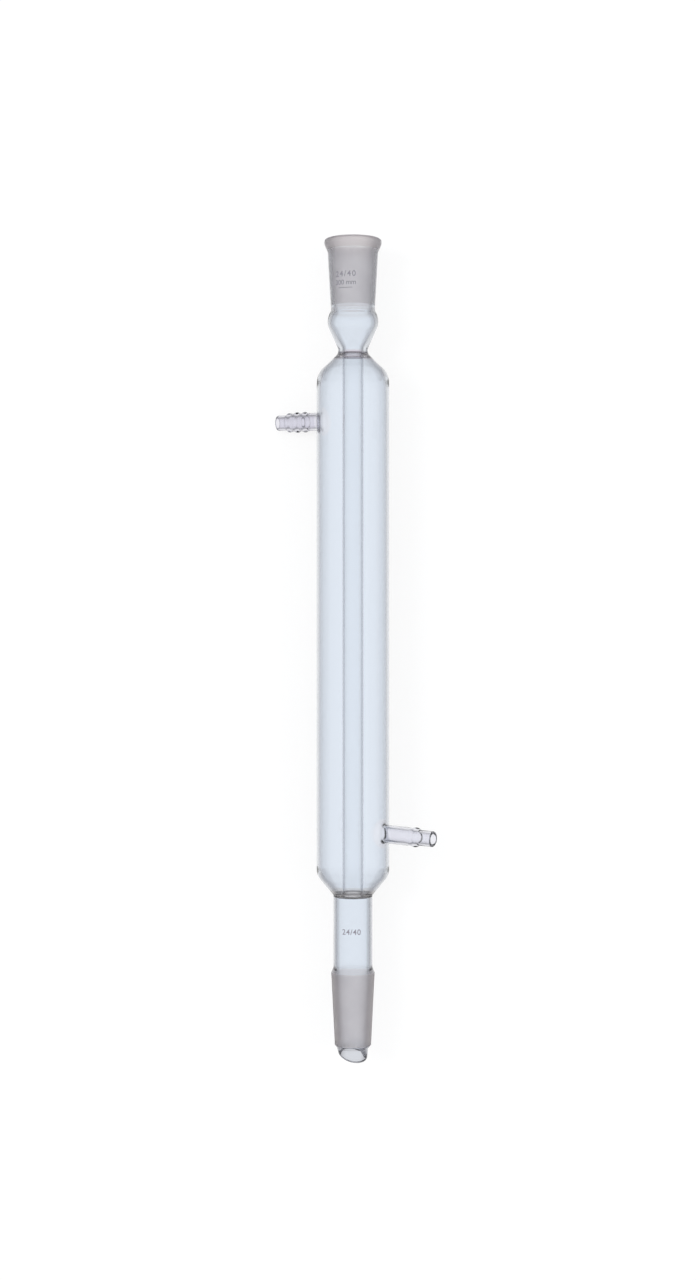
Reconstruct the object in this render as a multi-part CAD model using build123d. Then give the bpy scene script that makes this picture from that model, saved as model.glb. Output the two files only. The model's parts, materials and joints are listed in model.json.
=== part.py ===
from build123d import *
import math
import os

# A Liebig condenser with standard taper 24/40 joints, blown from borosilicate glass tube.
# An inner tube carries the vapour. A wider jacket round it holds the cooling water, which runs
# in at the lower side arm and out at the upper one. Every seam is fused, so it is one piece.
#
# Lengths are in millimetres. It lies along Y with the socket towards +Y, as it comes to rest on
# a bench: on its jacket and on the tip of the upper side arm, with the bench at Z = 0.
# A level is a distance down the axis from the socket's mouth. A reach is a distance out from
# the axis along a side arm. A corner of an outline is where its two slopes would meet, and its
# rounding is the radius of the arc that joins them.

# Ground joints: both tapers lose a tenth of their length in diameter
joint_diameter = 24.0
joint_length = 40.0
joint_taper = 0.1
mouth_bevel = 0.7

# Socket and its thick rolled lip
socket_wall = 2.3
lip_diameter = 31.5
lip_height = 2.6
lip_slope = 4.4
lip_bevel = 1.0

# Bulb under the socket, which thickens to the neck where the tubes are sealed together
waist_above_taper_end = 0.8
waist_diameter = 24.2
bulb_length = 22.2
bulb_corner_diameter = 30.2
bulb_shoulder_height = 4.9
bulb_rounding = 10.0
bulb_wall = 1.8
bulb_inner_rounding = 4.0
neck_corner_diameter = 14.6
neck_rounding = 2.5
funnel_end_above_neck = 2.5
funnel_rounding = 8.0

# Cooling jacket with its domed shoulder and its conical foot
jacket_length = 299.5
jacket_diameter = 40.1
jacket_wall = 1.8
shoulder_angle = 46.0
shoulder_rounding = 11.0
foot_angle = 40.0
foot_rounding = 9.0

# Inner tube and the two ring seals that close the jacket on it
inner_tube_diameter = 11.8
inner_tube_wall = 1.0
top_seal_depth = 3.1
bottom_seal_rise = 2.5
bottom_seal_thickness = 3.4

# Lower tube, flare and ground cone
lower_tube_diameter = 21.5
lower_tube_wall = 1.6
lower_tube_length = 39.8
flare_length = 2.7
cone_wall = 2.4

# Drip tip, cut off at a slant
tip_length = 9.0
tip_neck_length = 2.2
tip_diameter = 16.7
tip_end_diameter = 15.3
tip_wall = 1.7
tip_slant = 25.0
tip_turn = 66.0

# Side arms for the water hoses
arm_diameter = 10.0
arm_bore = 6.6
arm_tip_diameter = 8.5
arm_tip_bore = 5.4
arm_end_bevel = 0.6
weld_rounding = 1.6
upper_arm_below_neck = 37.5
lower_arm_above_foot = 35.7
lower_arm_turn = 12.0
lower_arm_lean = 2.5

upper_arm_reach = 45.1
upper_tip_length = 4.9
upper_ridges = 3
upper_ridge_pitch = 4.7
upper_ridge_diameter = 11.6
upper_valley_diameter = 8.6

lower_arm_reach = 51.8
lower_tip_length = 7.6
lower_ridges = 1
lower_ridge_pitch = 7.0
lower_ridge_diameter = 10.8
lower_valley_diameter = 9.8

# Radii and levels that follow from the sizes
joint_radius = joint_diameter / 2
radius_per_level = joint_taper / 2
joint_end_radius = joint_radius - radius_per_level * joint_length
lip_radius = lip_diameter / 2
jacket_radius = jacket_diameter / 2
jacket_bore_radius = jacket_radius - jacket_wall
inner_tube_radius = inner_tube_diameter / 2
inner_bore_radius = inner_tube_radius - inner_tube_wall
lower_tube_radius = lower_tube_diameter / 2
lower_bore_radius = lower_tube_radius - lower_tube_wall
arm_radius = arm_diameter / 2
arm_bore_radius = arm_bore / 2
arm_tip_radius = arm_tip_diameter / 2
arm_tip_bore_radius = arm_tip_bore / 2
neck_corner_radius = neck_corner_diameter / 2
shoulder_slope = math.tan(math.radians(shoulder_angle))
foot_slope = math.tan(math.radians(foot_angle))

lip_foot_level = lip_height + lip_slope
taper_end_level = joint_length
waist_level = taper_end_level - waist_above_taper_end
bulb_level = taper_end_level + bulb_shoulder_height
neck_level = taper_end_level + bulb_length
shoulder_level = neck_level + (jacket_radius - neck_corner_radius) / shoulder_slope
jacket_end_level = neck_level + jacket_length
foot_level = jacket_end_level - (jacket_radius - lower_tube_radius) / foot_slope
flare_level = jacket_end_level + lower_tube_length
cone_level = flare_level + flare_length
cone_end_level = cone_level + joint_length
tip_neck_level = cone_end_level + tip_neck_length
tip_end_level = cone_end_level + tip_length


def socket_outside(level):
    """Radius of the socket's outer face, which keeps its wall outside the ground taper."""
    return joint_radius + socket_wall - radius_per_level * level


def turned(corners):
    """Solid turned about the Y axis. Each corner is its level, its radius and its rounding."""
    points = [(radius, -level) for level, radius, rounding in corners]
    roundings = [rounding for level, radius, rounding in corners]
    outline = FilletPolyline(*points, radius=roundings, close=True)
    return revolve(make_face(outline), Axis.Y)


def glass_outside():
    """The whole outer face, from the lip to the end of the drip tip."""
    corners = [
        (0, 0, 0),
        (0, lip_radius - lip_bevel, 0),
        (lip_bevel, lip_radius, 0),
        (lip_height, lip_radius, 0),
        (lip_foot_level, socket_outside(lip_foot_level), 0),
        (waist_level, waist_diameter / 2, 0),
        (bulb_level, bulb_corner_diameter / 2, bulb_rounding),
        (neck_level, neck_corner_radius, neck_rounding),
        (shoulder_level, jacket_radius, shoulder_rounding),
        (foot_level, jacket_radius, foot_rounding),
        (jacket_end_level, lower_tube_radius, 0),
        (flare_level, lower_tube_radius, 0),
        (cone_level, joint_radius, 0),
        (cone_end_level, joint_end_radius, 0),
        (tip_neck_level, tip_diameter / 2, 0),
        (tip_end_level, tip_end_diameter / 2, 0),
        (tip_end_level, 0, 0),
    ]
    return turned(corners)


def vapour_way():
    """The bore from the socket through the bulb and the inner tube to the drip tip."""
    funnel_end_level = neck_level - funnel_end_above_neck
    seal_underside_level = jacket_end_level - bottom_seal_rise + bottom_seal_thickness
    bulb_inside = bulb_corner_diameter / 2 - bulb_wall
    past_mouth = joint_radius + 2 * mouth_bevel
    corners = [
        (-mouth_bevel, 0, 0),
        (-mouth_bevel, past_mouth, 0),
        (mouth_bevel, joint_radius - radius_per_level * mouth_bevel, 0),
        (taper_end_level, joint_end_radius, 0),
        (bulb_level, bulb_inside, bulb_inner_rounding),
        (funnel_end_level, inner_bore_radius, funnel_rounding),
        (seal_underside_level, inner_bore_radius, 0),
        (seal_underside_level, lower_bore_radius, 0),
        (cone_level, lower_bore_radius, 0),
        (cone_end_level, joint_end_radius - cone_wall, 0),
        (tip_neck_level, tip_diameter / 2 - tip_wall, 0),
        (tip_end_level + tip_wall, tip_end_diameter / 2 - tip_wall, 0),
        (tip_end_level + tip_wall, 0, 0),
    ]
    return turned(corners)


def water_space():
    """The ring-shaped space between the jacket and the inner tube."""
    top_level = neck_level + top_seal_depth
    bottom_level = jacket_end_level - bottom_seal_rise
    shoulder_inside = shoulder_level + jacket_wall * math.tan(math.radians(shoulder_angle / 2))
    foot_inside = foot_level - jacket_wall * math.tan(math.radians(foot_angle / 2))
    top_radius = jacket_bore_radius - (shoulder_inside - top_level) * shoulder_slope
    bottom_radius = jacket_bore_radius - (bottom_level - foot_inside) * foot_slope
    corners = [
        (top_level, inner_tube_radius, 0),
        (top_level, top_radius, 0),
        (shoulder_inside, jacket_bore_radius, shoulder_rounding - jacket_wall),
        (foot_inside, jacket_bore_radius, foot_rounding - jacket_wall),
        (bottom_level, bottom_radius, 0),
        (bottom_level, inner_tube_radius, 0),
    ]
    return turned(corners)


def side_arm(reach, tip_length_out, ridges, pitch, ridge_diameter, valley_diameter):
    """A side arm's outer form along the X axis, from the jacket's wall to its bevelled tip."""
    tip_start = reach - tip_length_out
    first_valley = tip_start - ridges * pitch
    plain_end = first_valley - pitch / 2
    wave = [(plain_end, arm_radius), (first_valley, valley_diameter / 2)]
    for ridge in range(ridges):
        valley = first_valley + (ridge + 1) * pitch
        wave.append((valley - pitch / 2, ridge_diameter / 2))
        wave.append((valley, valley_diameter / 2))
    wave[-1] = (tip_start, arm_tip_radius)
    ridged = Spline(*wave, tangents=[(1, 0), (1, 0)])
    plain = Polyline(
        wave[-1],
        (reach - arm_end_bevel, arm_tip_radius),
        (reach, arm_tip_radius - arm_end_bevel),
        (reach, 0),
        (jacket_bore_radius, 0),
        (jacket_bore_radius, arm_radius),
        wave[0],
    )
    return revolve(make_face([ridged, plain]), Axis.X)


def side_arm_bore(reach, tip_length_out):
    """The water's way through a side arm, from the water space out past its tip."""
    inside = jacket_bore_radius - jacket_wall
    narrow = reach - tip_length_out
    flare = reach - arm_end_bevel / 2
    past_tip = reach + arm_end_bevel
    outline = Polyline(
        (inside, 0),
        (inside, arm_bore_radius),
        (narrow - arm_bore_radius, arm_bore_radius),
        (narrow, arm_tip_bore_radius),
        (flare, arm_tip_bore_radius),
        (past_tip, arm_tip_bore_radius + past_tip - flare),
        (past_tip, 0),
        close=True,
    )
    return revolve(make_face(outline), Axis.X)


def resting_dip():
    """Angle below level at which the upper arm's tip meets the bench with the jacket."""
    out = upper_arm_reach - arm_end_bevel
    lean_on = math.asin(jacket_radius / math.hypot(out, arm_tip_radius))
    return math.degrees(lean_on - math.atan2(arm_tip_radius, out))


def slanted_end():
    """The glass that the slanted cut takes off the drip tip, which leaves its upper side longer."""
    size = 2 * joint_diameter
    cutter = Box(size, size, size, align=(Align.CENTER, Align.MAX, Align.CENTER))
    long_side = Vector(tip_end_diameter / 2, -tip_end_level)
    return Rot(Y=-tip_turn) * Pos(long_side) * Rot(Z=-tip_slant) * cutter


upper_arm_angle = 180 + resting_dip()
lower_arm_angle = resting_dip() + lower_arm_turn
upper_arm_level = neck_level + upper_arm_below_neck
lower_arm_level = jacket_end_level - lower_arm_above_foot
upper_place = Pos(0, -upper_arm_level, 0) * Rot(Y=-upper_arm_angle)
lower_place = Pos(0, -lower_arm_level, 0) * Rot(Y=-lower_arm_angle) * Rot(Z=-lower_arm_lean)

# The turned body takes both side arms, and the flame leaves a fillet of glass round each root
body = glass_outside()
upper_arm = upper_place * side_arm(
    upper_arm_reach, upper_tip_length, upper_ridges,
    upper_ridge_pitch, upper_ridge_diameter, upper_valley_diameter,
)
lower_arm = lower_place * side_arm(
    lower_arm_reach, lower_tip_length, lower_ridges,
    lower_ridge_pitch, lower_ridge_diameter, lower_valley_diameter,
)
condenser = body + upper_arm + lower_arm
roots = new_edges(body, upper_arm, lower_arm, combined=condenser)
condenser = fillet(roots, weld_rounding)

# Water runs through the arms and the jacket, and vapour down the middle to the slanted end
condenser -= water_space()
condenser -= upper_place * side_arm_bore(upper_arm_reach, upper_tip_length)
condenser -= lower_place * side_arm_bore(lower_arm_reach, lower_tip_length)
condenser -= vapour_way()
condenser -= slanted_end()

# The origin is on the bench, under the middle of the condenser
box = condenser.bounding_box()
condenser = Pos(-box.center().X, -box.center().Y, -box.min.Z) * condenser
condenser.label = "condenser"

os.makedirs("parts", exist_ok=True)
export_step(condenser, "parts/condenser.step")
print(f"Upper arm dips {resting_dip():.2f} degrees, axis at X {-box.center().X:.3f}")
print(f"Box {box.size}, {condenser.volume / 1000:.2f} cm3, {len(condenser.solids())} solid")
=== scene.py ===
# %% [markdown]
# # A Liebig condenser, blown in glass
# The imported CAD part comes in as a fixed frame, in metres. It lies along Y with its socket
# towards +Y, and the bench is at Z = 0. Everything below takes its place from that frame.

# %% Load the frame
import json
import math
import bmesh
import bpy
from mathutils import Matrix, Vector


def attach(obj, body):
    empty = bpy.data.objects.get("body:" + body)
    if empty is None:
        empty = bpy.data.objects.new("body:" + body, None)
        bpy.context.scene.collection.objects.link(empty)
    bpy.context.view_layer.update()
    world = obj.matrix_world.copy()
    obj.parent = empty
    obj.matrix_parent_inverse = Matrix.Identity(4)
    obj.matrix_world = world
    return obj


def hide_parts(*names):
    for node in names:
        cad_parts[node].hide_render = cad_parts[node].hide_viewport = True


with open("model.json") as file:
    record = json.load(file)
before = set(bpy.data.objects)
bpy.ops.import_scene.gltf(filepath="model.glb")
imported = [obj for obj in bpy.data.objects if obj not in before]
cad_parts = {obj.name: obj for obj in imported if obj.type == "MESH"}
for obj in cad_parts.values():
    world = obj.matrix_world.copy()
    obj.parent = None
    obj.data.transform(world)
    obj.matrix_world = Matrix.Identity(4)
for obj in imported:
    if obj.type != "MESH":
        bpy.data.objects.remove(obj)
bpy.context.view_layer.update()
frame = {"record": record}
mounts = {mount["name"]: mount for mount in frame["record"]["mounts"]}

# %% [markdown]
# ## Where the axis is
# The socket's mount lies on the condenser's axis at its mouth, and each hose mount gives the
# direction of a side arm. A level is a distance down the axis from the mouth, and a reach is a
# distance out from the axis along an arm. Both are in millimetres, as on a glassblower's drawing,
# and are turned into metres only when a point is placed.

# %% Axis, levels and arms
MM = 0.001
mouth = Vector(mounts["socket"]["pos_m"])
axis_point = Vector((mouth.x, 0, mouth.z))


def arm_of(mount):
    """A side arm's direction, and the level at which it meets the axis."""
    out = Vector(mount["axis"]).normalized()
    spot = Vector(mount["pos_m"]) - axis_point
    reach = Vector((spot.x, 0, spot.z)).length / Vector((out.x, 0, out.z)).length
    return out, (mouth.y - (spot - out * reach).y) / MM


upper_out, upper_level = arm_of(mounts["upper_hose_tip"])
lower_out, lower_level = arm_of(mounts["lower_hose_tip"])
cone_end_level = (mouth.y - mounts["cone"]["pos_m"][1]) / MM
print(f"arms at levels {upper_level:.1f} and {lower_level:.1f}, cone ends at {cone_end_level:.1f} mm")

# %% [markdown]
# ## The glassblower's drawing
# The whole body is turned, so one outline says almost everything about it. These are the sizes
# of the standard taper 24/40 joints, the bulb, the jacket and the tubes, in millimetres.

# %% Sizes of the turned glass
joint_radius = 12.0
joint_length = 40.0
taper = 0.05
ground_end = 36.5
socket_wall = 2.3
lip_radius, lip_height, lip_foot = 15.75, 2.6, 7
waist_level, waist_radius = 39.2, 12.1
bulb_level, bulb_radius, bulb_wall = 44.9, 15.1, 1.8
neck_level, neck_radius = 62.2, 7.3
jacket_radius, jacket_wall, jacket_length = 20.05, 1.8, 299.5
shoulder_angle, foot_angle = math.radians(46), math.radians(40)
inner_radius, inner_wall = 5.9, 1.0
lower_radius, lower_wall = 10.75, 1.6
tip_radius, tip_end_radius, tip_wall = 8.35, 7.65, 2.3
tip_neck, tip_length = 2.2, 9.0
tip_slant, tip_turn = math.tan(math.radians(25)), math.radians(66)
cone_wall = 2.4

jacket_end = neck_level + jacket_length
shoulder_slope, foot_slope = math.tan(shoulder_angle), math.tan(foot_angle)
shoulder_level = neck_level + (jacket_radius - neck_radius) / shoulder_slope
foot_level = jacket_end - (jacket_radius - lower_radius) / foot_slope
cone_level = cone_end_level - joint_length
flare_level = cone_level - 2.7
tip_neck_level = cone_end_level + tip_neck
tip_end_level = cone_end_level + tip_length
top_seal = neck_level + 4.0
seal_top, seal_bottom = jacket_end - 1.6, jacket_end + 0.3

joint_end_radius = joint_radius - taper * joint_length
jacket_bore = jacket_radius - jacket_wall
bore = inner_radius - inner_wall
lower_bore = lower_radius - lower_wall
print(f"jacket from {neck_level} to {jacket_end}, cone from {cone_level:.1f}, end at {tip_end_level:.1f} mm")

# %% [markdown]
# A real outline has no sharp corner, because molten glass pulls itself round. So each corner
# is given a rounding, and an arc of short steps takes its place. On either side of an arc one
# more point holds the straight run straight: smooth shading would otherwise spread the arc's
# turn along the whole run, and in clear glass that shows as a lens.

# %% Round an outline's corners
arc_step = math.radians(7.5)
hold = 0.25


def rounded(corners, closed=False):
    """Points (level, radius) of an outline whose corners are (level, radius, rounding)."""
    points = []
    for i, (level, radius, rounding) in enumerate(corners):
        here = Vector((level, radius))
        at_end = not closed and i in (0, len(corners) - 1)
        if rounding == 0 or at_end:
            points.append(here)
            continue
        back = (Vector(corners[i - 1][:2]) - here).normalized()
        on = (Vector(corners[(i + 1) % len(corners)][:2]) - here).normalized()
        half = back.angle(on) / 2
        tangent = rounding / math.tan(half)
        centre = here + (back + on).normalized() * rounding / math.sin(half)
        start = here + back * tangent - centre
        sweep = math.pi - 2 * half
        side = 1 if start.x * on.y - start.y * on.x > 0 else -1
        steps = max(2, math.ceil(sweep / arc_step))
        points.append(here + back * (tangent + hold))
        for k in range(steps + 1):
            angle = side * sweep * k / steps
            cos, sin = math.cos(angle), math.sin(angle)
            points.append(centre + Vector((start.x * cos - start.y * sin, start.x * sin + start.y * cos)))
        points.append(here + on * (tangent + hold))
    return points


# %% [markdown]
# ## Turning it in Geometry Nodes
# A glass lathe spins the tube and shapes it, and the node tree does the same. A grid gets one
# row for each point of the outline and one column for each step round, and every grid point is
# moved to its radius and angle. The same tree turns the body, the water space and both arms,
# each with its own outline and its own number of steps.

# %% The node tree that turns an outline
def make_lathe():
    """A node group: Outline (x is the radius, y the height) and Steps in, turned surface out."""
    tree = bpy.data.node_groups.new("glass_lathe", "GeometryNodeTree")
    tree.interface.new_socket("Surface", in_out="OUTPUT", socket_type="NodeSocketGeometry")
    tree.interface.new_socket("Outline", in_out="INPUT", socket_type="NodeSocketObject")
    tree.interface.new_socket("Steps", in_out="INPUT", socket_type="NodeSocketInt")
    tree.interface.new_socket("Glass", in_out="INPUT", socket_type="NodeSocketMaterial")
    nodes, links = tree.nodes, tree.links
    ins, out = nodes.new("NodeGroupInput"), nodes.new("NodeGroupOutput")

    def math_node(operation, first, second=None):
        node = nodes.new("ShaderNodeMath")
        node.operation = operation
        for socket, value in zip(node.inputs, (first, second)):
            if isinstance(value, (int, float)):
                socket.default_value = value
            elif value is not None:
                links.new(value, socket)
        return node.outputs[0]

    outline = nodes.new("GeometryNodeObjectInfo")
    links.new(ins.outputs["Outline"], outline.inputs["Object"])
    count = nodes.new("GeometryNodeAttributeDomainSize")
    links.new(outline.outputs["Geometry"], count.inputs["Geometry"])
    rows = count.outputs["Point Count"]
    grid = nodes.new("GeometryNodeMeshGrid")
    links.new(math_node("ADD", ins.outputs["Steps"], 1), grid.inputs["Vertices X"])
    links.new(rows, grid.inputs["Vertices Y"])

    index = nodes.new("GeometryNodeInputIndex").outputs[0]
    row = math_node("FLOORED_MODULO", index, rows)
    column = math_node("FLOOR", math_node("DIVIDE", index, rows))
    turn = math_node("MULTIPLY", math_node("DIVIDE", column, ins.outputs["Steps"]), 2 * math.pi)
    sample = nodes.new("GeometryNodeSampleIndex")
    sample.data_type = "FLOAT_VECTOR"
    links.new(outline.outputs["Geometry"], sample.inputs["Geometry"])
    links.new(nodes.new("GeometryNodeInputPosition").outputs[0], sample.inputs["Value"])
    links.new(row, sample.inputs["Index"])
    apart = nodes.new("ShaderNodeSeparateXYZ")
    links.new(sample.outputs[0], apart.inputs[0])
    place = nodes.new("ShaderNodeCombineXYZ")
    links.new(math_node("MULTIPLY", apart.outputs["X"], math_node("COSINE", turn)), place.inputs["X"])
    links.new(apart.outputs["Y"], place.inputs["Y"])
    links.new(math_node("MULTIPLY", apart.outputs["X"], math_node("SINE", turn)), place.inputs["Z"])

    moved = nodes.new("GeometryNodeSetPosition")
    links.new(grid.outputs["Mesh"], moved.inputs["Geometry"])
    links.new(place.outputs[0], moved.inputs["Position"])
    merged = nodes.new("GeometryNodeMergeByDistance")
    merged.inputs["Distance"].default_value = 1e-7
    links.new(moved.outputs[0], merged.inputs["Geometry"])
    real = nodes.new("GeometryNodeRealizeInstances")
    links.new(merged.outputs[0], real.inputs[0])
    dressed = nodes.new("GeometryNodeSetMaterial")
    links.new(real.outputs[0], dressed.inputs["Geometry"])
    links.new(ins.outputs["Glass"], dressed.inputs["Material"])
    links.new(dressed.outputs[0], out.inputs["Surface"])
    return tree


lathe = make_lathe()
print("lathe of", len(lathe.nodes), "nodes")


# %% A plain mesh from an outline
def turned(name, points, steps, glass):
    """A plain mesh of the outline's points (height, radius), turned about Y in that many steps."""
    drawn = bpy.data.meshes.new(name + "_outline")
    drawn.from_pydata([(radius * MM, height * MM, 0) for height, radius in points], [], [])
    outline = bpy.data.objects.new(drawn.name, drawn)
    blank = bpy.data.objects.new(name, bpy.data.meshes.new(name))
    for made in (outline, blank):
        bpy.context.scene.collection.objects.link(made)
    modifier = blank.modifiers.new("lathe", "NODES")
    modifier.node_group = lathe
    sockets = {item.name: item.identifier for item in lathe.interface.items_tree if item.in_out == "INPUT"}
    modifier[sockets["Outline"]] = outline
    modifier[sockets["Steps"]] = steps
    modifier[sockets["Glass"]] = glass
    seen = blank.evaluated_get(bpy.context.evaluated_depsgraph_get())
    mesh = bpy.data.meshes.new_from_object(seen)
    bpy.data.objects.remove(blank)
    bpy.data.objects.remove(outline)
    print(name, len(mesh.vertices), "points")
    return mesh


# %% [markdown]
# ## The finishes
# It is all one borosilicate glass with a slight cool tint, but it doesn't look the same all over.
# Drawn tube is nearly even. Glass that was blown or fused in the flame is wavy, thick glass looks
# greyer, and the joints are ground with grit so that they seal. That grey of thick, fused and
# ground glass is painted into their tints as painted shade. One wavy pattern serves every clear
# finish, each with its own strengths, so it is built once as a node group.

# %% A shared pattern: the faint waviness of blown glass
def make_waviness():
    """A node group that puts out a height: long draw lines, and slow swells."""
    tree = bpy.data.node_groups.new("blown_waviness", "ShaderNodeTree")
    tree.interface.new_socket("Draw lines", in_out="INPUT", socket_type="NodeSocketFloat")
    tree.interface.new_socket("Swell", in_out="INPUT", socket_type="NodeSocketFloat")
    tree.interface.new_socket("Height", in_out="OUTPUT", socket_type="NodeSocketFloat")
    nodes, links = tree.nodes, tree.links
    ins, out = nodes.new("NodeGroupInput"), nodes.new("NodeGroupOutput")
    where = nodes.new("ShaderNodeTexCoord").outputs["Object"]

    def noise(scale_across, scale_along, strength):
        stretch = nodes.new("ShaderNodeMapping")
        stretch.inputs["Scale"].default_value = (scale_across, scale_along, scale_across)
        links.new(where, stretch.inputs["Vector"])
        texture = nodes.new("ShaderNodeTexNoise")
        texture.inputs["Scale"].default_value = 1.0
        texture.inputs["Detail"].default_value = 2.0
        links.new(stretch.outputs[0], texture.inputs["Vector"])
        weigh = nodes.new("ShaderNodeMath")
        weigh.operation = "MULTIPLY"
        links.new(texture.outputs[0], weigh.inputs[0])
        links.new(strength, weigh.inputs[1])
        return weigh.outputs[0]

    total = nodes.new("ShaderNodeMath")
    links.new(noise(420, 4, ins.outputs["Draw lines"]), total.inputs[0])
    links.new(noise(70, 70, ins.outputs["Swell"]), total.inputs[1])
    links.new(total.outputs[0], out.inputs["Height"])
    return tree


waviness = make_waviness()
print("waviness of", len(waviness.nodes), "nodes")

# %% [markdown]
# Where glass is seen aslant, light takes a longer way through it. So the tint of a clear finish
# turns into a deeper one with the slant, which gives a tube its soft dark edges: partly as that
# longer way does, and partly as painted shade. Ground glass scatters light instead of passing it
# straight: it gets a rough shader, a fine, uneven grit, and a grey tint that is painted shade.


# %% Clear glass
def new_glass(name, tint, roughness):
    """A material of one Principled glass shader. Returns it with its shader."""
    material = bpy.data.materials.new(name)
    material.use_nodes = True
    shader = material.node_tree.nodes["Principled BSDF"]
    shader.inputs["Base Color"].default_value = (*tint, 1)
    shader.inputs["Roughness"].default_value = roughness
    shader.inputs["Transmission Weight"].default_value = 1.0
    shader.inputs["Metallic"].default_value = 0.0
    shader.inputs["IOR"].default_value = 1.474
    return material, shader


def clear_glass(name, tint, edge_tint_and_shade, edge, waves, roughness=0.0):
    """Clear blown glass, with bumps too slight to see except where they bend a line behind.

    Where it is seen aslant, more glass lies in the way, and its colour is the edge tint: partly the
    colour of that longer way, and partly painted shade that darkens the edges. Edge gives the slants
    at which that starts and is full, and waves the draw lines and swells."""
    material, shader = new_glass(name, tint, roughness)
    nodes, links = material.node_tree.nodes, material.node_tree.links
    slant = nodes.new("ShaderNodeLayerWeight").outputs["Facing"]
    # The deeper tint at the edges is partly the longer way through the glass and partly painted shade.
    deeper = nodes.new("ShaderNodeValToRGB")
    deeper.color_ramp.elements[0].position, deeper.color_ramp.elements[1].position = edge
    deeper.color_ramp.elements[0].color = (*tint, 1)
    deeper.color_ramp.elements[1].color = (*edge_tint_and_shade, 1)
    links.new(slant, deeper.inputs[0])
    links.new(deeper.outputs[0], shader.inputs["Base Color"])
    group = nodes.new("ShaderNodeGroup")
    group.node_tree = waviness
    group.inputs["Draw lines"].default_value, group.inputs["Swell"].default_value = waves
    bump = nodes.new("ShaderNodeBump")
    bump.inputs["Distance"].default_value = 0.0001
    bump.inputs["Strength"].default_value = 1.0
    links.new(group.outputs["Height"], bump.inputs["Height"])
    links.new(bump.outputs["Normal"], shader.inputs["Normal"])
    return material


# %% Ground glass
def ground_glass():
    """Glass roughened with grit. Its grey is painted shade, and it varies a little from place to place."""
    material, shader = new_glass("ground_glass", (0.70, 0.67, 0.68), 0.55)
    nodes, links = material.node_tree.nodes, material.node_tree.links
    where = nodes.new("ShaderNodeTexCoord").outputs["Object"]
    cloud = nodes.new("ShaderNodeTexNoise")
    cloud.inputs["Scale"].default_value = 90
    cloud.inputs["Detail"].default_value = 4
    links.new(where, cloud.inputs["Vector"])
    # Painted shade: these greys stand for the dimness that ground glass scatters from the room; their
    # variation from place to place is the glass's own.
    grey_mottle_and_shade = nodes.new("ShaderNodeValToRGB")
    grey_mottle_and_shade.color_ramp.elements[0].position, grey_mottle_and_shade.color_ramp.elements[1].position = 0.3, 0.7
    grey_mottle_and_shade.color_ramp.elements[0].color = (0.67, 0.63, 0.64, 1)
    grey_mottle_and_shade.color_ramp.elements[1].color = (0.77, 0.73, 0.73, 1)
    links.new(cloud.outputs[0], grey_mottle_and_shade.inputs[0])
    links.new(grey_mottle_and_shade.outputs[0], shader.inputs["Base Color"])
    grit = nodes.new("ShaderNodeTexNoise")
    grit.inputs["Scale"].default_value = 4000
    grit.inputs["Detail"].default_value = 2
    links.new(where, grit.inputs["Vector"])
    bump = nodes.new("ShaderNodeBump")
    bump.inputs["Distance"].default_value = 0.00002
    links.new(grit.outputs[0], bump.inputs["Height"])
    links.new(bump.outputs["Normal"], shader.inputs["Normal"])
    return material


# %% [markdown]
# Each finish is a tint, the deeper tint aslant, the two slants between which it deepens, the
# strengths of draw lines and swells, and a roughness where the flame left the glass hazy. The
# inner tube is drawn thinner and carries less of the tint, and the ring seals carry the most. The
# greyer tints of the seals, the lip, the waist, the drip tip and the thick glass round the bulb,
# shoulder and foot are painted shade, and so is part of every deeper tint aslant.

# %% The finishes of this condenser
cool_tint = (0.87, 0.905, 0.95)
slowly, soon, suddenly, early = (0.35, 0.85), (0.3, 0.8), (0.38, 0.55), (0.18, 0.45)
even, drawn, blown, fused = (0.02, 0.02), (0.02, 0.05), (0.1, 0.6), (0.1, 1.5)
# The greyer tints of the seals, lip, waist, drip tip and thick glass are painted shade.
finishes = {
    "jacket": clear_glass("borosilicate_glass", cool_tint, (0.74, 0.76, 0.80), slowly, drawn),
    "inner tube": clear_glass("inner_tube_glass", (0.985, 0.99, 0.995), (0.92, 0.93, 0.95), slowly, even),
    "ground": ground_glass(),
    "lower seal": clear_glass("ring_seal_glass", (0.69, 0.665, 0.655), (0.60, 0.58, 0.58), soon, fused, 0.18),
    "thick": clear_glass("thick_glass", (0.85, 0.885, 0.93), (0.58, 0.59, 0.62), suddenly, blown),
    "tip": clear_glass("drip_tip_glass", (0.67, 0.69, 0.735), (0.38, 0.38, 0.41), early, blown),
    "plain arm": clear_glass("side_arm_glass", (0.88, 0.885, 0.93), (0.80, 0.80, 0.83), slowly, blown),
    "neck seal": clear_glass("neck_seal_glass", (0.80, 0.77, 0.81), (0.68, 0.65, 0.69), soon, fused, 0.2),
    "weld": clear_glass("weld_glass", (0.93, 0.93, 0.96), (0.90, 0.90, 0.93), slowly, blown, 0.15),
    "lip": clear_glass("lip_glass", (0.72, 0.69, 0.71), (0.60, 0.58, 0.60), soon, blown, 0.3),
    "ridged arm": clear_glass("ridged_arm_glass", (0.82, 0.815, 0.87), (0.74, 0.73, 0.77), slowly, blown),
    "waist": clear_glass("waist_glass", (0.79, 0.805, 0.835), (0.58, 0.58, 0.61), suddenly, blown, 0.15),
}
print(len(finishes), "finishes")

# %% [markdown]
# ## The body and the water space
# The first outline runs down the outside, round the end of the drip tip, and back up the
# vapour's way to the mouth: a closed ring, so the surface it turns has no edge. The second runs
# round the water space. On the jacket's straight run both have rows a fixed pitch apart round
# each arm, where a hole will be cut for it.

# %% Rows and slopes
steps_round = 160
weld_pitch = 2 * math.pi * jacket_radius / steps_round
weld_half = 12


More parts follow.
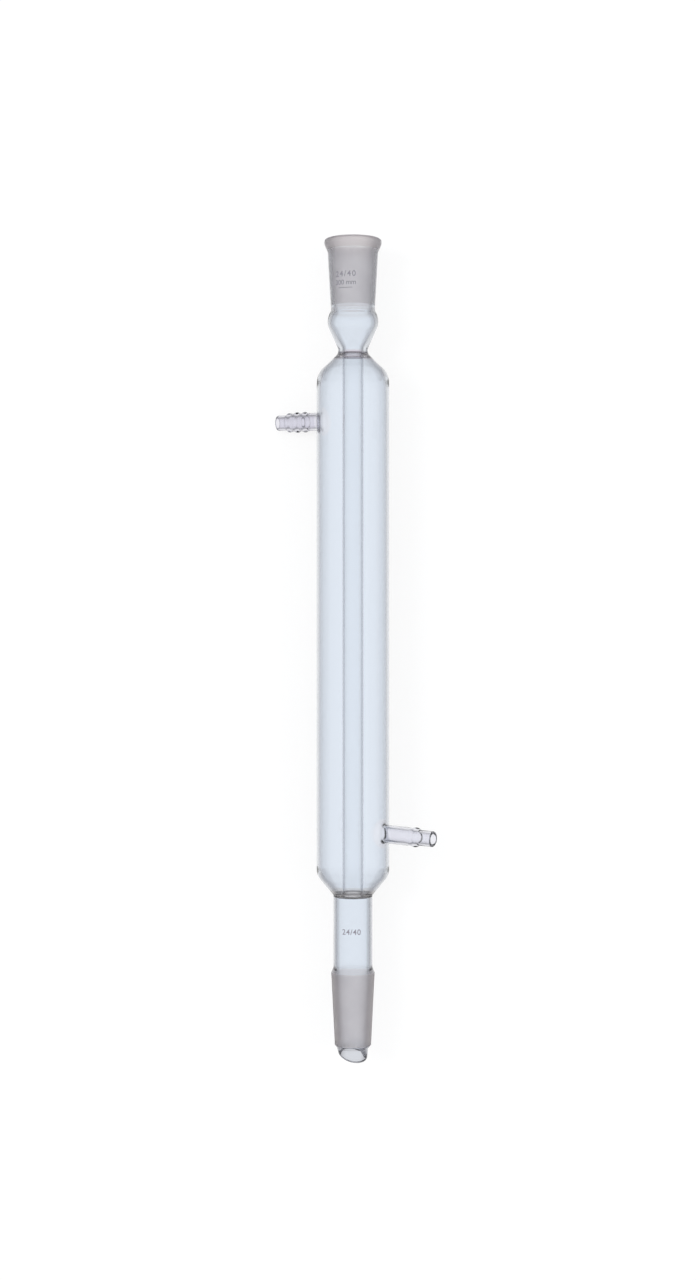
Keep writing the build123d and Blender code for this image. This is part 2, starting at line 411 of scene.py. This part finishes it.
def jacket_rows(radius):
    """Corners on the jacket's straight run, a pitch apart across each arm's weld."""
    levels = [shoulder_level + 9, foot_level - 7]
    for level in (upper_level, lower_level):
        levels += [level + k * weld_pitch for k in range(-weld_half, weld_half + 1)]
    return [(level, radius, 0) for level in sorted(levels)]


def socket_outside(level):
    """Radius of the socket's outer face, which follows the ground taper."""
    return joint_radius + socket_wall - taper * level


def on_shoulder(level):
    """Radius of the jacket's sloping shoulder, outside."""
    return neck_radius + (level - neck_level) * shoulder_slope


def on_foot(level):
    """Radius of the jacket's sloping foot, outside."""
    return lower_radius + (jacket_end - level) * foot_slope


# %% The outline of the outside and the vapour's way
# Rows just clear of the two seals, so that no face of the seals' finish reaches past them
below_top_seal, above_lower_seal, below_lower_seal = top_seal + 0.3, seal_top - 0.9, seal_bottom + 0.6

# Corners (level, radius, rounding)
outside = [
    (0, lip_radius, 1.2), (lip_height, lip_radius, 1.2), (lip_foot, socket_outside(lip_foot), 5),
    (waist_level, waist_radius, 3.5), (bulb_level, bulb_radius, 10), (neck_level, neck_radius, 4.2),
    (below_top_seal, on_shoulder(below_top_seal), 0), (shoulder_level, jacket_radius, 11),
    *jacket_rows(jacket_radius),
    (foot_level, jacket_radius, 9), (above_lower_seal, on_foot(above_lower_seal), 0),
    (jacket_end, lower_radius, 1.2), (below_lower_seal, lower_radius, 0), (flare_level, lower_radius, 4),
    (cone_level, joint_radius, 1.5), (cone_end_level, joint_end_radius, 0.3),
    (tip_neck_level, tip_radius, 0.6), (tip_end_level, tip_end_radius, 0.4),
]
inside = [
    (tip_end_level, tip_end_radius - tip_wall, 0.4), (tip_neck_level, tip_radius - tip_wall, 0.6),
    (cone_end_level, joint_end_radius - cone_wall, 1), (cone_level + 1.5, joint_radius - cone_wall, 5),
    (flare_level, lower_bore, 4), (seal_bottom, lower_bore, 0.5), (seal_bottom, bore, 0.5),
    (above_lower_seal, bore, 0), (below_top_seal, bore, 0),
    (neck_level - 2.5, bore, 4), (bulb_level + 0.6, bulb_radius - bulb_wall, 7.5),
    (joint_length, joint_end_radius, 4), (ground_end, joint_radius - taper * ground_end, 0),
    (0.7, joint_radius - 0.04, 0.5), (0, joint_radius + 0.7, 0.4),
]
body_outline = rounded(outside + inside, closed=True)
print(len(body_outline), "points in the body's outline")

# %% The outline of the water space
shoulder_in = shoulder_level + jacket_wall * math.tan(shoulder_angle / 2)
foot_in = foot_level - jacket_wall * math.tan(foot_angle / 2)
seal_rounding = 0.9
water = [
    (top_seal, inner_radius, 0.6), (top_seal, on_shoulder(top_seal) - 1.1, 0.6),
    (shoulder_in, jacket_bore, 17), *jacket_rows(jacket_bore), (foot_in, jacket_bore, 12),
    (seal_top, jacket_bore - (seal_top - foot_in) * foot_slope, seal_rounding),
    (seal_top, inner_radius, seal_rounding),
]
water_outline = rounded(water, closed=True)
print(len(water_outline), "points in the water space's outline")

# %% Turn the body and the water space
def as_turned(outline):
    """The outline with heights up from the mouth, and its first point again at its end."""
    return [(-level, radius) for level, radius in outline + outline[:1]]


body = turned("body", as_turned(body_outline), steps_round, finishes["jacket"])
water_skin = turned("water_space", as_turned(water_outline), steps_round, finishes["jacket"])

# %% [markdown]
# ## The drip tip
# The tip is cut off at a slant, so that the last drop hangs from its long side. Here the long
# side faces up, and a little to the right. The turned rows of the tip are moved along the glass
# until the last ones lie on the cutting plane, and the flame-polished rim moves with them.

# %% Slant the drip tip
slant_start = cone_end_level + 0.4
rim = 0.7
settling_rounds = 12


def wall_radius(level, thickness):
    """Radius of the tip's outer face at a level, or of its inner face, given the walls there."""
    if level < tip_neck_level:
        share = (level - cone_end_level) / tip_neck
        walls = (cone_wall, tip_wall) if thickness else (0, 0)
        return (joint_end_radius - walls[0]) * (1 - share) + (tip_radius - walls[1]) * share
    share = (level - tip_neck_level) / (tip_length - tip_neck)
    return tip_radius * (1 - share) + tip_end_radius * share - thickness


for vertex in body.vertices:
    level = -vertex.co.y / MM
    if level < slant_start:
        continue
    away = math.hypot(vertex.co.x, vertex.co.z) / MM
    angle = math.atan2(vertex.co.z, vertex.co.x) - tip_turn
    thickness = 0 if away > wall_radius(level, 0) - tip_wall / 2 else tip_wall
    new_level, new_away = level, away
    share = (level - slant_start) / (tip_end_level - rim - slant_start)
    # The new level and the new radius hang on each other, so they are worked out in turns
    for _ in range(settling_rounds):
        cut = tip_end_level - (tip_end_radius - new_away * math.cos(angle)) * tip_slant
        if share < 1:
            new_level = slant_start + share * (cut - rim - slant_start)
        else:
            new_level = cut - tip_end_level + level
        new_away = away + wall_radius(new_level, thickness) - wall_radius(level, thickness)
    vertex.co = (vertex.co.x * new_away / away, -new_level * MM, vertex.co.z * new_away / away)
print(f"tip cut at {math.degrees(math.atan(tip_slant)):.0f} degrees")

# %% [markdown]
# ## The side arms
# Each arm is turned about its own axis: a plain tube, a row of rounded ridges that hold the
# hose, and a smooth tip. A ridge and the valley beside it are joined by half a cosine, which
# is what a soft tube takes on between the jaws of a forming tool.

# %% Outline of a side arm
arm_radius, arm_bore, hose_radius, hose_bore = 5.0, 3.3, 4.25, 2.7
end_rounding, step_rounding = 0.75, 2
arm_steps = 4 * 2 * weld_half
weld_clear = 3.4
ridge_steps = 10


def arm_outline(reach, tip, ridges, pitch, valley_radius):
    """(reach, radius) from the weld out over the ridges, round the end and back along the bore.

    Ridges holds the radius of each ridge, and pitch is the distance from one to the next."""
    tip_start = reach - tip
    valley = tip_start - len(ridges) * pitch
    turns = [(valley - pitch / 2, arm_radius), (valley, valley_radius)]
    for ridge_radius in ridges:
        turns += [(valley + pitch / 2, ridge_radius), (valley + pitch, valley_radius)]
        valley += pitch
    turns[-1] = (tip_start, hose_radius)
    points = [(jacket_radius + weld_clear, arm_radius)]
    for (start, low), (end, high) in zip(turns, turns[1:]):
        for k in range(ridge_steps):
            part = k / ridge_steps
            ease = (1 - math.cos(math.pi * part)) / 2
            points.append((start + (end - start) * part, low + (high - low) * ease))
    points += rounded([
        (tip_start, hose_radius, 0), (reach, hose_radius, end_rounding), (reach, hose_bore, end_rounding),
        (tip_start, hose_bore, step_rounding), (tip_start - arm_bore, arm_bore, step_rounding),
        (jacket_bore + weld_clear, arm_bore, 0),
    ])
    return points


# %% Turn the arms
def place_of(out, level):
    """The matrix that puts an arm, turned about Y, where its own Y points out along the arm."""
    across = out.cross(Vector((0, 1, 0))).normalized()
    turn = Matrix((across, out, across.cross(out))).transposed().to_4x4()
    return Matrix.Translation((0, -level * MM, 0)) @ turn


upper_drawing = arm_outline(reach=45.07, tip=4.9, ridges=(5.7, 5.75, 5.4), pitch=4.7, valley_radius=5.0)
lower_drawing = arm_outline(reach=51.77, tip=7.6, ridges=(5.4,), pitch=7.0, valley_radius=4.9)
upper_arm = turned("upper_arm", upper_drawing, arm_steps, finishes["jacket"])
lower_arm = turned("lower_arm", lower_drawing, arm_steps, finishes["jacket"])
upper_arm.transform(place_of(upper_out, upper_level))
lower_arm.transform(place_of(lower_out, lower_level))

# %% [markdown]
# ## Welding the arms on
# The jacket has a hole where an arm joins it, and a fillet of glass where the flame ran. Around
# the arm, at each angle, the fillet is a curve in a plane through the arm's axis: it leaves the
# arm along its side and meets the jacket's round face without a kink. From there the surface
# runs out over the jacket to the square hole in its grid. Every point is worked out, so the
# weld has no ragged edge as a Boolean would leave, and its shading stays smooth. The fillet
# inside is wider than the one outside by about the wall, so the glass stays equally thick round
# the bend, as blown glass does. A thick corner would trap light there and look black.

# %% Where a weld meets the jacket
weld_fillet, bore_fillet = 1.5, 3.2
strip_steps = 8
nudge = 0.05


def meets_jacket(out, first, second, angle, away, radius):
    """Reach at which a line beside the arm, that far away at that angle, meets the jacket's face."""
    beside = first * math.cos(angle) + second * math.sin(angle)
    along, across = Vector((out.x, out.z)), Vector((beside.x, beside.z)) * away
    a, b = along.dot(along), along.dot(across)
    return (math.sqrt(b * b - a * (across.dot(across) - radius * radius)) - b) / a, beside


def column_of(out):
    """The column of the jacket's grid that an arm comes out at."""
    return round(math.atan2(out.z, out.x) / (2 * math.pi) * steps_round)


def hole_rim(out, level):
    """Spots (angle, level) of the jacket's grid along the square hole for an arm, in order."""
    span = 2 * weld_half
    corners = ((0, 0), (span, 0), (span, span), (0, span))
    ways = ((1, 0), (0, 1), (-1, 0), (0, -1))
    spots = []
    for (i, j), (u, v) in zip(corners, ways):
        for k in range(span):
            column = column_of(out) - weld_half + i + u * k
            spots.append((column * 2 * math.pi / steps_round, level + (j + v * k - weld_half) * weld_pitch))
    return spots


# %% One weld's strip
def weld(shell, out, level, tube, face, fillet, end):
    """Adds to a bmesh the strip from an arm's tube, over its fillet, to the hole in the jacket."""
    place = place_of(out, level)
    turn = place.to_3x3()
    first, second = turn @ Vector((1, 0, 0)), turn @ Vector((0, 0, 1))
    centre = place.translation / MM
    spots = hole_rim(out, level)

    def facing(angle_round, at_level):
        """Angle about the arm's axis of a spot on the jacket."""
        spot = Vector((face * math.cos(angle_round), -at_level, face * math.sin(angle_round))) - centre
        return math.atan2(spot.dot(second), spot.dot(first))

    offset = facing(*spots[0])
    spins = 1 if (facing(*spots[1]) - offset + math.pi) % (2 * math.pi) > math.pi else -1
    start_step = round(offset / (2 * math.pi) * arm_steps)
    rings = []
    for n, (round_angle, at_level) in enumerate(spots):
        angle = (start_step + spins * n) * 2 * math.pi / arm_steps
        foot_away = tube + fillet
        foot, beside = meets_jacket(out, first, second, angle, foot_away, face)
        near, _ = meets_jacket(out, first, second, angle, foot_away - nudge, face)
        fall = (near - foot) / nudge * fillet
        points = [centre + beside * tube + out * end]
        bend = [(tube, foot + fall + fillet), (tube, foot + fall), (foot_away, foot)]
        for k in range(strip_steps + 1):
            t = k / strip_steps
            away, reach = [
                (1 - t) ** 2 * bend[0][c] + 2 * t * (1 - t) * bend[1][c] + t * t * bend[2][c] for c in (0, 1)
            ]
            points.append(centre + beside * away + out * reach)
        edge = points[-1]
        edge_angle, edge_level = math.atan2(edge.z, edge.x), -edge.y
        swing = (round_angle - edge_angle + math.pi) % (2 * math.pi) - math.pi
        for k in range(1, strip_steps + 1):
            t = k / strip_steps
            at, down = edge_angle + swing * t, edge_level + (at_level - edge_level) * t
            points.append(Vector((face * math.cos(at), -down, face * math.sin(at))))
        rings.append([shell.verts.new(point * MM) for point in points])
    for ring, following in zip(rings, rings[1:] + rings[:1]):
        for k in range(len(ring) - 1):
            shell.faces.new((ring[k], ring[k + 1], following[k + 1], following[k]))


# %% The hole for a weld
def cut_hole(shell, out, level, face):
    """Takes the square patch of the jacket's grid away, where the weld strip goes."""
    middle = column_of(out) * 2 * math.pi / steps_round
    half = weld_half * weld_pitch
    gone = []
    for patch in shell.faces:
        spot = patch.calc_center_median() / MM
        swing = (math.atan2(spot.z, spot.x) - middle + math.pi) % (2 * math.pi) - math.pi
        on_face = abs(math.hypot(spot.x, spot.z) - face) < 0.2
        if on_face and abs(swing) * jacket_radius < half and abs(-spot.y - level) < half:
            gone.append(patch)
    bmesh.ops.delete(shell, geom=gone, context="FACES")
    return len(gone)


# %% Join everything into one skin of glass
join_distance = 2e-6
arms = ((upper_out, upper_level), (lower_out, lower_level))
glass_skin = bmesh.new()
glass_skin.from_mesh(body)
glass_skin.from_mesh(water_skin)
for out, level in arms:
    for face in (jacket_radius, jacket_bore):
        print("cut", cut_hole(glass_skin, out, level, face), "faces")
for arm in (upper_arm, lower_arm):
    glass_skin.from_mesh(arm)
for out, level in arms:
    weld(glass_skin, out, level, arm_radius, jacket_radius, weld_fillet, jacket_radius + weld_clear)
    weld(glass_skin, out, level, arm_bore, jacket_bore, bore_fillet, jacket_bore + weld_clear)

# Only the glass above the cone is joined up: on the drip tip's short side the rows lie too close
above_cone = [vertex for vertex in glass_skin.verts if vertex.co.y > -cone_level * MM]
bmesh.ops.remove_doubles(glass_skin, verts=above_cone, dist=join_distance)
open_edges = [edge for edge in glass_skin.edges if len(edge.link_faces) != 2]
bmesh.ops.recalc_face_normals(glass_skin, faces=glass_skin.faces)
if glass_skin.calc_volume(signed=True) < 0:
    bmesh.ops.reverse_faces(glass_skin, faces=glass_skin.faces)
print(len(open_edges), "open edges,", round(glass_skin.calc_volume() * 1e6, 2), "cm3 of glass")

# %% [markdown]
# ## Which finish goes where
# Each face takes its finish from its level and its distance from the axis. Then the skin goes
# into place and stands for the CAD solid.

# %% Which finish a face has
ground_depth = 0.7
lip_reach, waist_reach = 2.4, 3.9
weld_reach = 8


def on_ground_face(level, away):
    """Whether a spot is on the mouth, on the socket's ground inside, or on the cone's ground outside."""
    in_socket = level < ground_end and away < min(joint_radius + 1, socket_outside(level) - ground_depth)
    cone_radius = joint_radius - taper * (level - cone_level)
    on_cone = cone_level < level < cone_end_level and abs(away - cone_radius) < 0.15
    return level < 0.3 or in_socket or on_cone


def on_weld(spot, out, at_level):
    """Whether a spot is near an arm's axis, and on the arm's side of the condenser."""
    beside = spot + Vector((0, at_level * MM, 0))
    along = beside.dot(out)
    return along > 0 and (beside - out * along).length < weld_reach * MM


def finish_of(spot):
    """The finish of a spot on the glass, before the glass goes into place."""
    level, away = -spot.y / MM, math.hypot(spot.x, spot.z) / MM
    if on_ground_face(level, away):
        return "ground"
    if level < lip_height + lip_reach:
        return "lip"
    if away < inner_radius + 0.1 and top_seal + 1 < level < seal_top - 1:
        return "inner tube"
    if ground_end < level < ground_end + waist_reach:
        return "waist"
    if neck_level + 0.4 < level < below_top_seal and away < 11:
        return "neck seal"
    if above_lower_seal < level < below_lower_seal:
        return "lower seal"
    if level > cone_end_level:
        return "tip"
    if ground_end < level < shoulder_level + 2 or level > foot_level - 2:
        return "thick"
    if jacket_bore - 2 < away < jacket_radius + 2.5 and any(on_weld(spot, *arm) for arm in arms):
        return "weld"
    if away < jacket_radius + 0.4:
        return "jacket"
    return "ridged arm" if spot.x < 0 else "plain arm"


# %% Finish each face and place the condenser
slots = list(finishes)
for patch in glass_skin.faces:
    patch.material_index = slots.index(finish_of(patch.calc_center_median()))
    patch.smooth = True
skin = bpy.data.meshes.new("condenser_glass")
for finish in finishes.values():
    skin.materials.append(finish)
glass_skin.to_mesh(skin)
glass_skin.free()
skin.transform(Matrix.Translation(mouth))
condenser = bpy.data.objects.new("condenser_glass", skin)
bpy.context.scene.collection.objects.link(condenser)
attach(condenser, "root")
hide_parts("condenser")
print(len(skin.polygons), "faces of glass")

# %% [markdown]
# ## The marks
# The joint's size is printed on the socket and again on the lower tube, in small grey enamel
# figures that are fired on. They are flat letters, cut fine enough to bend, and then laid round
# the glass a hair above it. The words on the real one can't be read, so these are plain numbers.

# %% Enamel and flat figures
enamel = bpy.data.materials.new("grey_enamel")
enamel.use_nodes = True
enamel_shader = enamel.node_tree.nodes["Principled BSDF"]
enamel_shader.inputs["Base Color"].default_value = (0.21, 0.20, 0.23, 1)
enamel_shader.inputs["Roughness"].default_value = 0.6
film, film_gap = 0.03, 0.02
capital_share = 0.7
longest_edge, sliver = 0.6, 1e-3


def flat_figures(words, height, spread=1.0):
    """A fine flat mesh of the words, centred, with letters that high in millimetres."""
    curve = bpy.data.curves.new("figures", "FONT")
    curve.body, curve.size, curve.extrude = words, height / capital_share, film / 2
    curve.space_character, curve.offset = spread, 0.04
    curve.align_x, curve.align_y = "CENTER", "CENTER"
    writer = bpy.data.objects.new("figures", curve)
    bpy.context.scene.collection.objects.link(writer)
    mesh = bpy.data.meshes.new_from_object(writer.evaluated_get(bpy.context.evaluated_depsgraph_get()))
    bpy.data.objects.remove(writer)
    return mesh


def bar(width, height):
    """A thin bar of enamel, centred, in millimetres."""
    mesh = bpy.data.meshes.new("bar")
    block = bmesh.new()
    bmesh.ops.create_cube(block, size=1, matrix=Matrix.Diagonal((width, height, film, 1)))
    block.to_mesh(mesh)
    block.free()
    return mesh


# %% Print the figures on the glass
def print_on(name, printed, level, aside, radius_at):
    """Lays flat meshes round the glass: each is (mesh, levels below the first line)."""
    ink = bmesh.new()
    for mesh, below in printed:
        flat = bmesh.new()
        flat.from_mesh(mesh)
        bmesh.ops.remove_doubles(flat, verts=flat.verts, dist=1e-4)
        bmesh.ops.triangulate(flat, faces=flat.faces)
        for _ in range(3):
            long_edges = [edge for edge in flat.edges if edge.calc_length() > longest_edge]
            bmesh.ops.subdivide_edges(flat, edges=long_edges, cuts=1)
            bmesh.ops.triangulate(flat, faces=flat.faces)
        bmesh.ops.dissolve_degenerate(flat, edges=flat.edges, dist=sliver)
        for vertex in flat.verts:
            at_level = level + below - vertex.co.y
            radius = radius_at(at_level) + film_gap + film / 2 + vertex.co.z
            angle = (vertex.co.x + aside) / radius_at(at_level)
            vertex.co = (radius * math.sin(angle), -at_level, radius * math.cos(angle))
        flat.to_mesh(mesh)
        flat.free()
        ink.from_mesh(mesh)
    bmesh.ops.recalc_face_normals(ink, faces=ink.faces)
    printed_mesh = bpy.data.meshes.new(name)
    ink.to_mesh(printed_mesh)
    ink.free()
    printed_mesh.transform(Matrix.Translation(mouth) @ Matrix.Scale(MM, 4))
    printed_mesh.materials.append(enamel)
    marks = bpy.data.objects.new(name, printed_mesh)
    bpy.context.scene.collection.objects.link(marks)
    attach(marks, "root")
    print(name, len(printed_mesh.polygons), "faces")


socket_lines = [(flat_figures("24/40", 3.0, 1.25), 0), (flat_figures("300 mm", 2.6), 4.6), (bar(8, 0.3), 7.4)]
tube_lines = [(flat_figures("24/40", 3.0, 1.1), 0)]
print_on("socket_marks", socket_lines, level=21.0, aside=-4.4, radius_at=socket_outside)
print_on("lower_tube_mark", tube_lines, level=381.0, aside=-0.9, radius_at=lambda level: lower_radius)

# %% [markdown]
# ## Bench, light and camera
# The condenser lies on a plain white bench and is photographed from straight above. To the camera
# the bench shows white with a faint shadow. Through the glass and in its reflections it is white
# where a ray meets it straight on, and greyer where the glass has bent the ray aslant, because a
# light table shines mostly upwards. That, and a room that is brighter overhead than at the
# horizon, gives the tubes their soft dark edges.

# %% Bench
def white_bench():
    """A light table: white to the camera, and through glass white straight on and greyer aslant."""
    material = bpy.data.materials.new("white_bench")
    material.use_nodes = True
    nodes, links = material.node_tree.nodes, material.node_tree.links
    nodes.remove(nodes["Principled BSDF"])
    paper = nodes.new("ShaderNodeBsdfDiffuse")
    paper.inputs["Color"].default_value = (0.9, 0.9, 0.9, 1)
    path = nodes.new("ShaderNodeLightPath")

    def larger(first, second):
        node = nodes.new("ShaderNodeMath")
        node.operation = "MAXIMUM"
        links.new(first, node.inputs[0])
        links.new(second, node.inputs[1])
        return node.outputs[0]

    slant = nodes.new("ShaderNodeLayerWeight").outputs["Facing"]
    spread = nodes.new("ShaderNodeValToRGB")
    spread.color_ramp.elements[0].position, spread.color_ramp.elements[1].position = 0.01, 0.45
    spread.color_ramp.elements[0].color = (1, 1, 1, 1)
    spread.color_ramp.elements[1].color = (0.38, 0.38, 0.40, 1)
    links.new(slant, spread.inputs[0])
    bent = nodes.new("ShaderNodeEmission")
    links.new(spread.outputs[0], bent.inputs["Color"])
    straight = nodes.new("ShaderNodeEmission")
    seen = nodes.new("ShaderNodeMixShader")
    seen.inputs[0].default_value = 0.85
    links.new(paper.outputs[0], seen.inputs[1])
    links.new(straight.outputs[0], seen.inputs[2])
    by_glass = nodes.new("ShaderNodeMixShader")
    links.new(larger(path.outputs["Is Glossy Ray"], path.outputs["Is Transmission Ray"]), by_glass.inputs[0])
    links.new(paper.outputs[0], by_glass.inputs[1])
    links.new(bent.outputs[0], by_glass.inputs[2])
    mix = nodes.new("ShaderNodeMixShader")
    links.new(path.outputs["Is Camera Ray"], mix.inputs[0])
    links.new(by_glass.outputs[0], mix.inputs[1])
    links.new(seen.outputs[0], mix.inputs[2])
    links.new(mix.outputs[0], nodes["Material Output"].inputs["Surface"])
    return material


bench_half = 3.0
bench_mesh = bpy.data.meshes.new("bench")
bench_mesh.from_pydata(
    [(x * bench_half, y * bench_half, 0) for x, y in ((-1, -1), (1, -1), (1, 1), (-1, 1))],
    [], [(0, 1, 2, 3)],
)
bench_mesh.materials.append(white_bench())
bench = bpy.data.objects.new("bench", bench_mesh)
bpy.context.scene.collection.objects.link(bench)
print("bench", 2 * bench_half, "m wide")

# %% Room and lamps
world = bpy.data.worlds.new("studio")
world.use_nodes = True
bpy.context.scene.world = world
nodes, links = world.node_tree.nodes, world.node_tree.links
direction = nodes.new("ShaderNodeTexCoord")
height = nodes.new("ShaderNodeSeparateXYZ")
links.new(direction.outputs["Generated"], height.inputs[0])
sky = nodes.new("ShaderNodeValToRGB")
sky.color_ramp.elements[0].position, sky.color_ramp.elements[1].position = 0.0, 0.9
sky.color_ramp.elements[0].color = (0.65, 0.65, 0.67, 1)
sky.color_ramp.elements[1].color = (0.95, 0.97, 1.0, 1)
links.new(height.outputs["Z"], sky.inputs[0])
to_camera = nodes.new("ShaderNodeMix")
to_camera.data_type = "RGBA"
to_camera.inputs[7].default_value = (1, 1, 1, 1)
links.new(nodes.new("ShaderNodeLightPath").outputs["Is Camera Ray"], to_camera.inputs[0])
links.new(sky.outputs[0], to_camera.inputs[6])
links.new(to_camera.outputs[2], nodes["Background"].inputs["Color"])


def soft_lamp(name, spot, size, power):
    """A square lamp that faces the middle of the object."""
    lamp = bpy.data.lights.new(name, "AREA")
    lamp.size, lamp.energy = size, power
    made = bpy.data.objects.new(name, lamp)
    made.location = spot
    made.rotation_euler = (-Vector(spot)).to_track_quat("-Z", "Y").to_euler()
    made.visible_glossy = made.visible_transmission = False
    bpy.context.scene.collection.objects.link(made)
    print(name, power, "W")


soft_lamp("left_softbox", (-1.1, 0.3, 1.3), 0.8, 14)
soft_lamp("right_softbox", (1.2, -0.2, 1.2), 0.6, 8)

# %% [markdown]
# The camera is 1.15 m above the bench, with a long lens. From nearer, the mouth would be a
# rounder ellipse than in the photograph, and from further a flatter one. It stands a few
# millimetres aside, so that the condenser lies in the picture as it does in the photograph.

# %% Camera
scene = bpy.context.scene
scene.view_settings.view_transform = "Standard"
camera = bpy.data.cameras.new("camera")
camera.lens = 57.57
camera_seat = bpy.data.objects.new("camera", camera)
camera_seat.location = (-0.0037, 0.0056, 1.15)
scene.collection.objects.link(camera_seat)
scene.camera = camera_seat
print("camera", camera.lens, "mm lens,", round(camera_seat.location.z, 2), "m up")
